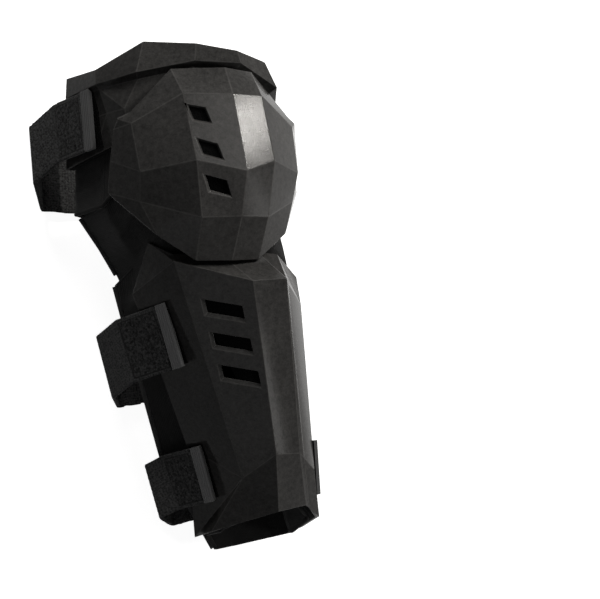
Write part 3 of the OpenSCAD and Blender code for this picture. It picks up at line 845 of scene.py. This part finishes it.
class GUARD_OT_gusset(bpy.types.Operator):
    """Stretch gusset at the elbow, with a bound edge on each side"""
    bl_idname = "elbow_guard.gusset"
    bl_label = "Elbow gusset"

    def execute(self, context):
        tone = context.scene.elbow_guard.fabric_tone
        knit = knitted_fabric(tone, "gusset_knit")
        tape = knitted_fabric(tone * TAPE_TONE, "gusset_binding")
        covers = [solid_tree(node) for node in ("cup_pad", "elbow_cup", "cup_vent_mesh")]
        room = 0.5
        plain = [[under(p, covers, room) for p in row]
                 for row in eased(spread(GUSSET, pitch=3, ring=False), ring=False)]
        g = [[under(p, covers, room) for p in row]
             for row in wrinkled(plain, ring=False, depth=0.3, seed=5, bends=(-12,))]
        piece = solid_sheet("elbow_gusset_knit", g, SLEEVE_WALL)
        smooth(piece, angle=60)
        finished(piece, None, knit, ["elbow_gusset"])
        hems = []
        for name, end, out in (("gusset_left_tape", 0, -1), ("gusset_right_tape", -1, 1)):
            seated = Vector((out, 0, 1.5))
            path = evenly([row[end] + seated for row in GUSSET[1:4]], pitch=3)
            strip = cord_mesh(name, path, wide=1.6, thick=0.8)
            hems.append(finished(strip, None, tape))
        for part in [piece] + hems:
            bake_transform(part)
        width, length, area = sheet_size(plain, ring=False)
        return {"FINISHED"}


class GUARD_OT_liner(bpy.types.Operator):
    """Upper arm liner in knitted fabric, with bound edges"""
    bl_idname = "elbow_guard.liner"
    bl_label = "Upper arm liner"

    def execute(self, context):
        tone = context.scene.elbow_guard.fabric_tone
        knit = knitted_fabric(tone, "liner_knit")
        left, right = LINER_SIDES
        rows = [[Vector((left, inner, BACK))] + row + [Vector((right, outer, BACK))]
                for row, (inner, outer) in zip(raised(CUFF, -LINING) + [LINER_HEM], LINER_BACK)]
        plain = eased(spread(rows, pitch=4, ring=False), ring=False)
        g = wrinkled(plain, ring=False, depth=0.25, seed=8, bends=(10,))
        piece = solid_sheet("upper_arm_liner_knit", g, SLEEVE_WALL)
        smooth(piece, angle=60)
        finished(piece, "upper_arm", knit, ["upper_arm_liner"])
        m = raised(g, -SLEEVE_WALL / 2)
        rim = m[0] + [row[-1] for row in m[1:]] + m[-1][-2::-1] + [row[0] for row in m[-2:0:-1]]
        hem = cord_mesh("liner_binding", rim, wide=BINDING, thick=BINDING, closed=True)
        finished(hem, "upper_arm", knit)
        width, length, area = sheet_size(plain, ring=False)
        return {"FINISHED"}


class GUARD_OT_straps(bpy.types.Operator):
    """Hook-and-loop straps: pile panels with flat woven borders, and ribbed tabs"""
    bl_idname = "elbow_guard.straps"
    bl_label = "Straps"

    def execute(self, context):
        prefs = context.scene.elbow_guard
        self.cloth = strap_cloth(prefs.strap_tone)
        rubber = ribbed_rubber(prefs.tab_tone)
        hooks = porous("hook_tape", scale=1100, level=0.006, depth=0.0006)
        loops = porous("loop_tape", scale=700, level=0.006, depth=0.0007)
        for name, (wide, body, path, way) in STRAPS.items():
            flap = name + "_flap"
            upper = [Vector(p) for p in path]
            down = [unit(Vector(w)) for w in way]
            self.web(name + "_strap_band", body, upper, down, wide, voxel=1.3, panel=False)
            fold = self.fold(name + "_strap_fold", body, flap, upper, down, wide)
            self.web(name + "_strap_flap", flap, upper, down, wide, voxel=0.8, panel=True,
                     extra=[fold])
            for part, kind, width, rider, slot, material in (
                    ("end", "rubber", 0.2, body, "ribbed_tab", rubber),
                    ("tab", "rubber", 0.2, flap, "ribbed_tab", rubber),
                    ("hook", "tape", 0.15, flap, "hook_face", hooks),
                    ("loop", "tape", 0.15, body, "loop_face", loops)):
                node = f"{name}_strap_{part}"
                piece = bevelled(node, f"{node}_{kind}", width, angle=25)
                smooth(piece, angle=30)
                finished(piece, rider, material, [node])
        return {"FINISHED"}

    def placed(self, where, path, down):
        """Distances along and across a strap of many points, and the way out of its face."""
        best = np.full(len(where), np.inf)
        along, across, out = np.zeros(len(where)), np.zeros(len(where)), np.zeros(where.shape)
        start = 0.0
        for a, c, way in zip(path, path[1:], down):
            span = (c - a).length
            t = (c - a) / span
            w = unit(way - t * way.dot(t))
            n = w.cross(t)
            local = where - np.array(a)
            u = local @ np.array(t)
            miss = np.abs(local @ np.array(n)) + np.maximum(0.0, np.maximum(-u, u - span))
            near = miss < best
            best[near] = miss[near]
            along[near] = start + np.clip(u, 0.0, span)[near]
            across[near] = (local @ np.array(w))[near]
            out[near] = np.array(n)
            start += span
        return along, across, out

    def fold(self, name, body, flap, path, down, wide):
        """Cloth inside the line where a flap turns."""
        t = unit(path[FOLD_FROM + 1] - path[FOLD_FROM])
        line = path[FOLD_FROM] + t * FOLD_AT
        rows = [[line + t * s + down[FOLD_FROM] * (wide * share) for s in FOLD_ALONG]
                for share in FOLD_ACROSS]
        piece = solid_sheet(name, raised(rows, -FOLD_DEPTH), FOLD_WALL)
        smooth(piece, angle=60)
        finished(piece, None, self.cloth)
        ELBOW + (line - t * 2) * MM
        ELBOW + (line + t * 2) * MM
        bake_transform(piece)
        return piece

    def web(self, node, body, path, down, wide, voxel, panel, extra=()):
        """A strap's cloth: pile in its panel as raised tufts, and flat webbing elsewhere."""
        piece = remeshed(node, node + "_cloth", voxel)
        mesh = piece.data
        lengths = [(c - a).length for a, c in zip(path, path[1:])]
        panel_start = sum(lengths[:PANEL_FROM]) + BORDER / 2
        panel_end = sum(lengths) - TAB - BORDER
        place = np.array([(v.co - ELBOW) / MM for v in mesh.vertices])
        normal = np.array([v.normal for v in mesh.vertices])
        along, across, out = self.placed(place, path, down)
        inside = np.minimum(np.minimum(along - panel_start, panel_end - along),
                            np.minimum(across - BORDER, wide - BORDER - across))
        outward = np.sum(normal * out, axis=1) > 0.6
        pile = np.clip(inside / PILE_RISE, 0.0, 1.0) * outward * panel
        broad, fine, apart = 0.62, 1.3, Vector((9, 4, 2))
        for k in np.nonzero(pile)[0]:
            p = Vector(place[k])
            tuft = noise.noise(p * broad) * 0.6 + noise.noise(p * fine + apart) * 0.4
            height = (tuft * PILE_TUFT + PILE_LEVEL) * pile[k]
            mesh.vertices[k].co += Vector(normal[k]) * (height * MM)
        store(mesh, "cloth", "POINT", [(x * MM, y * MM, 0.0) for x, y in zip(across, along)])
        store(mesh, "pile", "POINT", [float(x) for x in pile])
        smooth(piece, angle=60)
        finished(piece, body, self.cloth, [node])
        area = sum(face.area for face in mesh.polygons) / 2
        wide * MM
        area / (wide * MM)
        node.rsplit("_", 1)[0] + "_loop"


class GuardSettings(bpy.types.PropertyGroup):
    """Tones and sizes that a user would change"""
    shell_tone: bpy.props.FloatProperty(
        name="Shell tone", description="Grey level of the moulded plastic", default=0.036,
        min=0.01, max=0.6, subtype="FACTOR")
    # How far the shells' edges are painted pale, as rubbed wear and as a painted highlight
    wear_and_highlight: bpy.props.FloatProperty(
        name="Wear", description="How far the shells' edges are rubbed pale", default=0.2,
        min=0.0, max=1.0, subtype="FACTOR")
    edge_round: bpy.props.FloatProperty(
        name="Edge rounding", description="Width of the rounding on facet edges",
        default=0.5 * MM, min=0.1 * MM, max=1.2 * MM, unit="LENGTH", precision=4)
    fabric_tone: bpy.props.FloatProperty(
        name="Fabric tone", description="Grey level of the knitted fabric", default=0.012,
        min=0.003, max=0.6, subtype="FACTOR")
    strap_tone: bpy.props.FloatProperty(
        name="Strap tone", description="Grey level of the straps' cloth", default=0.02,
        min=0.003, max=0.6, subtype="FACTOR")
    tab_tone: bpy.props.FloatProperty(
        name="Tab tone", description="Grey level of the ribbed tabs", default=0.045,
        min=0.01, max=0.6, subtype="FACTOR")
    light: bpy.props.FloatProperty(
        name="Light", description="Strength of the lights, as a share of the usual", default=1.0,
        min=0.0, max=4.0)


class GUARD_PT_panel(bpy.types.Panel):
    """Lists the guard's pieces"""
    bl_idname = "GUARD_PT_panel"
    bl_label = "Elbow guard"
    bl_space_type = "VIEW_3D"
    bl_region_type = "UI"
    bl_category = "Elbow guard"

    def draw(self, context):
        for key in GuardSettings.__annotations__:
            self.layout.prop(context.scene.elbow_guard, key)
        for piece in OPERATORS:
            self.layout.operator(piece.bl_idname)


OPERATORS = (GUARD_OT_stage, GUARD_OT_shells, GUARD_OT_vents, GUARD_OT_pads, GUARD_OT_sleeve,
             GUARD_OT_gusset, GUARD_OT_liner, GUARD_OT_straps)
CLASSES = (GuardSettings, *OPERATORS, GUARD_PT_panel)


def register():
    for item in CLASSES:
        bpy.utils.register_class(item)
    bpy.types.Scene.elbow_guard = bpy.props.PointerProperty(type=GuardSettings)


def unregister():
    del bpy.types.Scene.elbow_guard
    for item in reversed(CLASSES):
        bpy.utils.unregister_class(item)


def main():
    register()
    for piece in OPERATORS:
        group, name = piece.bl_idname.split(".")
        getattr(getattr(bpy.ops, group), name)()


if __name__ == "__main__":
    main()
